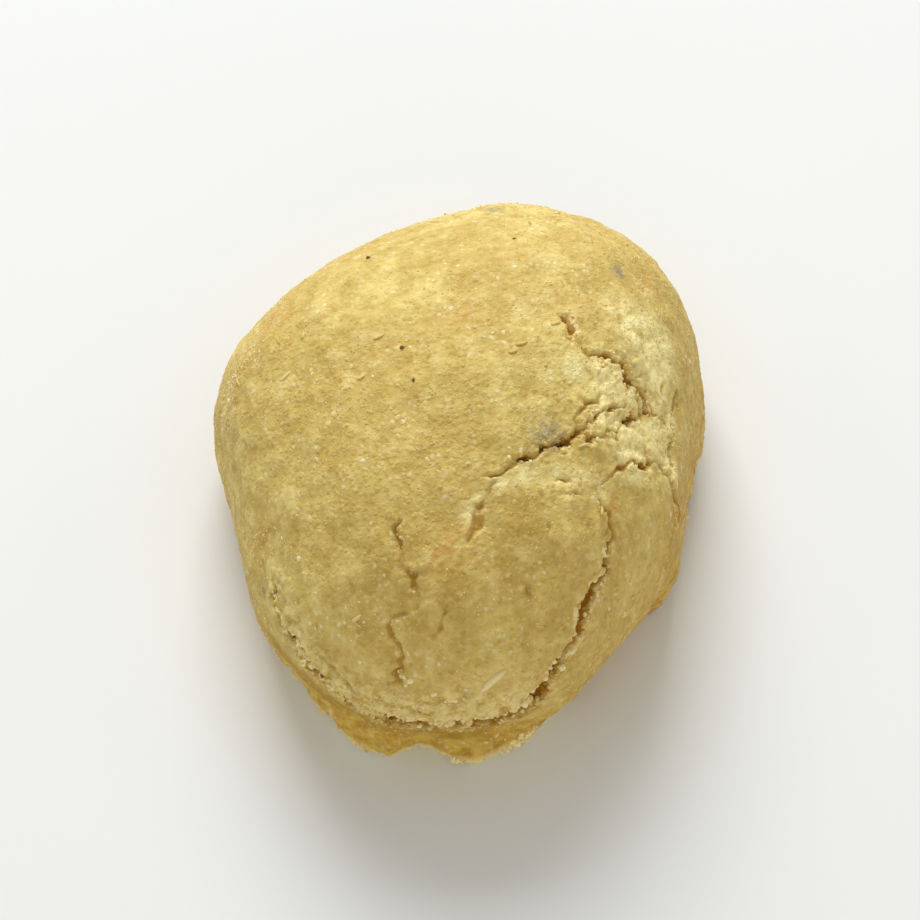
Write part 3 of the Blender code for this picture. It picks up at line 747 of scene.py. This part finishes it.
white = np.clip(chance.beta(0.9, 2.6, len(chosen)) + 0.35 * pale_patch[chosen], 0.0, 1.0)
white[: len(placed)] = 1.0
seats, facings = crust_seats[chosen], crust_facings[chosen]
grains = small_lumps("coconut_grains", chance, seats, facings, sizes, 0.72, 1, {"white": white})
grain, tree, shader = new_material("desiccated_coconut_grain")
tree.links.new(mixed(tree, fact(tree, "white"), "#d2b058", "#f6e6b0"), shader.inputs["Base Color"])
shader.inputs["Roughness"].default_value = 0.7
shader.inputs["Specular IOR Level"].default_value = 0.35
grains.data.materials.append(grain)
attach(grains, "root")

# ---------------------------------------------------------------------------------------------------------
# Shreds of coconut baked into the crust: thin curved slivers a millimetre or two long that lie along it.
# One pale shred stands clear above the torn lip on the near side.
# ---------------------------------------------------------------------------------------------------------


def shred(seat, facing, along, length, width, thickness):
    """The corners and faces of one sliver that follows the dome: a flat bar, narrowed towards both ends."""
    across = np.cross(facing, along)
    rows = []
    for step, narrow in zip(np.linspace(-0.5, 0.5, 6), (0.35, 0.85, 1.0, 0.95, 0.75, 0.3)):
        way = step * length
        middle = seat + along * way + facing * (0.1 * thickness - way * way / (2 * MEAN_RADIUS))
        middle = middle + across * 0.2 * length * step * step
        for side, up in ((-1, -1), (1, -1), (1, 1), (-1, 1)):
            rows.append(middle + across * side * width / 2 * narrow + facing * up * thickness / 2 * narrow)
    faces = []
    for row in range(5):
        for k in range(4):
            a, b = 4 * row + k, 4 * row + (k + 1) % 4
            faces += [(a, b, b + 4), (a, b + 4, a + 4)]
    faces += [(0, 2, 1), (0, 3, 2), (20, 21, 22), (20, 22, 23)]
    return np.array(rows), np.array(faces)


chance = np.random.default_rng(5)
first, last = ((ways @ direction(azimuth, way)).argmax() for azimuth, way in ((-82, 0.549), (-87, 0.600)))
middle, run = (crust_seats[first] + crust_seats[last]) / 2, crust_seats[last] - crust_seats[first]
clear_one = shred(middle, crust_facings[first], run / np.linalg.norm(run), 3.0, 0.56, 0.42)
slivers = [(clear_one, 0.8)]
for number in picked(chance, area * gathered * (0.35 + lip) * (reach < 0.95) * (cut < 0.2), 36):
    facing = crust_facings[number]
    along = np.cross(facing, unit(chance.normal(size=(1, 3)))[0])
    along = along / np.linalg.norm(along)
    length = chance.uniform(0.6, 1.3)
    sliver = shred(crust_seats[number], facing, along, length, chance.uniform(0.18, 0.34), 0.16)
    slivers.append((sliver, chance.uniform(0.0, 0.5)))
corners = np.vstack([shape for (shape, faces), white in slivers])
size = len(clear_one[0])
faces = np.vstack([faces + number * size for number, ((shape, faces), white) in enumerate(slivers)])
white = np.repeat([white for sliver, white in slivers], size)
shreds = mesh_piece("coconut_shreds", corners, faces, {"white": white})
shreds.data.materials.append(grain)
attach(shreds, "root")

# ---------------------------------------------------------------------------------------------------------
# Toasted specks: a few tiny dark bits on the crown and flanks, where a crumb has caught in the oven.
# Each is a third to half a millimetre across and sits a little proud of the crust.
# ---------------------------------------------------------------------------------------------------------

chance = np.random.default_rng(3)
specks_at = [(158, 0.121), (-165, 0.094), (-119, 0.66), (120, 0.40), (75, 0.33)]
chosen = np.array([(ways @ direction(azimuth, way)).argmax() for azimuth, way in specks_at])
sizes = chance.uniform(0.32, 0.52, len(chosen))
specks = small_lumps("toasted_specks", chance, crust_seats[chosen], crust_facings[chosen], sizes, 0.6, 2)
toasted, tree, shader = new_material("toasted_crumb")
shader.inputs["Base Color"].default_value = srgb("#7a5a2a")
shader.inputs["Roughness"].default_value = 0.8
specks.data.materials.append(toasted)
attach(specks, "root")

# ---------------------------------------------------------------------------------------------------------
# The table top: a plain pale surface, in the soft light of a bright room. Most of the light comes from a
# window above and behind the macaroon, and a little of it back from a warm wall on the near side.
# ---------------------------------------------------------------------------------------------------------

floor_mesh = bpy.data.meshes.new("floor")
floor_mesh.from_pydata([(-3, -3, 0), (3, -3, 0), (3, 3, 0), (-3, 3, 0)], [], [(0, 1, 2, 3)])
floor = bpy.data.objects.new("floor", floor_mesh)
bpy.context.scene.collection.objects.link(floor)
table_top, tree, shader = new_material("pale_table_top")
shader.inputs["Base Color"].default_value = srgb("#eaecec")
shader.inputs["Roughness"].default_value = 0.7
floor_mesh.materials.append(table_top)

world = bpy.data.worlds.new("bright_room")
world.use_nodes = True
background = world.node_tree.nodes["Background"]
background.inputs["Color"].default_value = srgb("#f3f4f2")
background.inputs["Strength"].default_value = 0.55
bpy.context.scene.world = world


def soft_light(name, place, size, power, colour="#ffffff"):
    """A square lamp that looks at the macaroon."""
    lamp = bpy.data.lights.new(name, "AREA")
    lamp.size, lamp.energy, lamp.color = size, power, srgb(colour)[:3]
    holder = bpy.data.objects.new(name, lamp)
    holder.location = place
    holder.rotation_euler = (Vector((0, 0, 0.01)) - Vector(place)).to_track_quat("-Z", "Y").to_euler()
    bpy.context.scene.collection.objects.link(holder)


soft_light("window", (-0.10, 0.78, 0.62), 0.6, 9.3)
soft_light("warm_wall", (0.15, -0.85, 0.30), 0.9, 1.6, "#ffe0a0")

camera = bpy.data.cameras.new("camera")
camera.lens, camera.sensor_width = 194.0, 36.0
camera.clip_start, camera.clip_end = 0.01, 10.0
eye = bpy.data.objects.new("camera", camera)
elevation = math.radians(62.0)
aim = Vector((0.0, 0.0, 0.0095))
eye.location = aim + 0.40 * Vector((0.0, -math.cos(elevation), math.sin(elevation)))
eye.rotation_euler = (aim - eye.location).to_track_quat("-Z", "Y").to_euler()
bpy.context.scene.collection.objects.link(eye)
bpy.context.scene.camera = eye
bpy.context.scene.view_settings.view_transform = "Standard"
